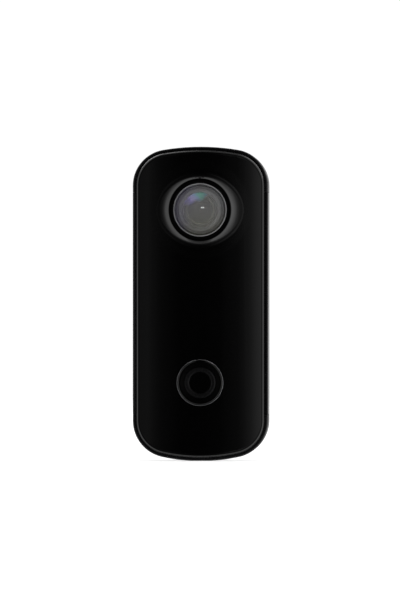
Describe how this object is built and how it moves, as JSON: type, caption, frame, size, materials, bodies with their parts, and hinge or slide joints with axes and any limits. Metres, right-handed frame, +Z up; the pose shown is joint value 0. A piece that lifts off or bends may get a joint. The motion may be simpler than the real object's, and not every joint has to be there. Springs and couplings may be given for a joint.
{
  "type": "action camera",
  "caption": "Thumb-sized action camera: rounded upright body, flared lens collar on the front, ringed shutter button below, side port door and flat magnetic back.",
  "frame": {"origin": "middle of the bounding box's footprint, at the height of the flattened foot", "axes": "+Z up along the body; the lens looks along -Y and the magnetic back faces +Y; +X is to the right as seen from the front"},
  "size_m": [0.0264, 0.02, 0.061],
  "materials": {
    "gloss_shell": "piano black, very smooth clear gloss with fine handling marks",
    "matte_shell": "fine satin texture",
    "frame_metal": "satin black coat over a light alloy ring",
    "side_gloss": "smooth gloss black side panel with a bright catching edge",
    "bezel_black": "black anodised, finely turned",
    "coated_glass": "clear cover glass with a violet-green coating",
    "lens_glass": "polished optical glass",
    "filter_glass": "thin blue-green filter glass",
    "lens_metal": "black anodised with fine turning lines",
    "trim_aluminium": "bright turned edge",
    "smoke_plastic": "smoked translucent plastic",
    "light_plastic": "milky light-guiding plastic",
    "button_plastic": "satin dark grey",
    "inner_plastic": "moulded black technical plastic",
    "connector_plastic": "ivory moulded connector",
    "card_plastic": "moulded card body",
    "seal_rubber": "soft silicone",
    "circuit_board": "green solder mask with traces",
    "chip_plastic": "moulded chip package",
    "chip_ceramic": "ceramic chip package",
    "shield_steel": "tinned sheet",
    "switch_steel": "stamped steel cover",
    "screw_steel": "blackened steel",
    "magnet_nickel": "nickel plated",
    "battery_foil": "laminated pouch foil",
    "lead_insulation": "soft wire insulation",
    "flex_film": "amber flexible film with copper",
    "mesh_fabric": "fine acoustic mesh",
    "thermal_pad": "grey thermal pad"
  },
  "bodies": {
    "housing": {"front_cover": "gloss_shell", "front_seal": "seal_rubber", "rear_seal": "seal_rubber", "mid_frame": "frame_metal", "rear_cover": "matte_shell", "rear_cover_screws": "screw_steel", "board_screws": "screw_steel", "lens_bezel": "bezel_black", "window_gasket": "seal_rubber", "lens_window": "coated_glass", "lens_barrel": "lens_metal", "lens_retaining_ring": "lens_metal", "lens_baffle": "lens_metal", "lens_spacer": "lens_metal", "front_element": "lens_glass", "middle_element": "lens_glass", "rear_element": "lens_glass", "lens_holder": "inner_plastic", "infrared_filter": "filter_glass", "image_sensor": "chip_ceramic", "sensor_board": "circuit_board", "sensor_connector": "connector_plastic", "shutter_trim_ring": "trim_aluminium", "switch_board": "circuit_board", "shutter_switch": "switch_steel", "main_board": "circuit_board", "processor": "chip_plastic", "shield_can": "shield_steel", "heat_spreader": "thermal_pad", "status_lights": "light_plastic", "light_guide": "light_plastic", "status_window": "smoke_plastic", "battery": "battery_foil", "battery_connector": "connector_plastic", "battery_leads": "lead_insulation", "flex_connector": "connector_plastic", "switch_flex": "flex_film", "microphone": "shield_steel", "microphone_boot": "seal_rubber", "microphone_mesh": "mesh_fabric", "speaker": "inner_plastic", "wifi_antenna": "flex_film", "mounting_magnets": "magnet_nickel", "mode_switch": "switch_steel", "side_panel": "side_gloss", "hinge_pin": "screw_steel", "usb_socket": "shield_steel", "usb_tongue": "inner_plastic", "card_socket": "shield_steel", "reset_switch": "inner_plastic"},
    "shutter_button": {"shutter_button": "gloss_shell", "shutter_light_ring": "smoke_plastic", "shutter_o_ring": "seal_rubber"},
    "shutter_switch_plunger": {"shutter_switch_plunger": "inner_plastic"},
    "mode_button": {"mode_button": "button_plastic"},
    "mode_switch_plunger": {"mode_switch_plunger": "inner_plastic"},
    "reset_button": {"reset_button": "button_plastic"},
    "port_door": {"port_door": "side_gloss", "door_seal": "seal_rubber"},
    "memory_card": {"memory_card": "card_plastic"}
  },
  "joints": [
    {"name": "shutter_press", "type": "slide", "parent": "housing", "child": "shutter_button", "axis": [0, 1, 0], "range_m": [0, 0.0003], "stiffness_N_per_m": 500},
    {"name": "shutter_plunger_press", "type": "slide", "parent": "housing", "child": "shutter_switch_plunger", "axis": [0, 1, 0], "range_m": [0, 0.0003]},
    {"name": "mode_press", "type": "slide", "parent": "housing", "child": "mode_button", "axis": [0, -1, 0], "range_m": [0, 0.0003], "stiffness_N_per_m": 500},
    {"name": "mode_plunger_press", "type": "slide", "parent": "housing", "child": "mode_switch_plunger", "axis": [0, -1, 0], "range_m": [0, 0.0003]},
    {"name": "reset_press", "type": "slide", "parent": "housing", "child": "reset_button", "axis": [1, 0, 0], "range_m": [0, 0.00025], "stiffness_N_per_m": 500},
    {"name": "port_door_hinge", "type": "hinge", "parent": "housing", "child": "port_door", "pos_m": [-0.01245, 0.0056, 0.03055], "axis": [0, 0, -1], "range_deg": [0, 100]},
    {"name": "memory_card_slide", "type": "slide", "parent": "housing", "child": "memory_card", "axis": [-1, 0, 0], "range_m": [-0.0005, 0.0012]}
  ],
  "couplings": [
    {"joint": "shutter_plunger_press", "follows": "shutter_press", "ratio": 1},
    {"joint": "mode_plunger_press", "follows": "mode_press", "ratio": 1}
  ]
}
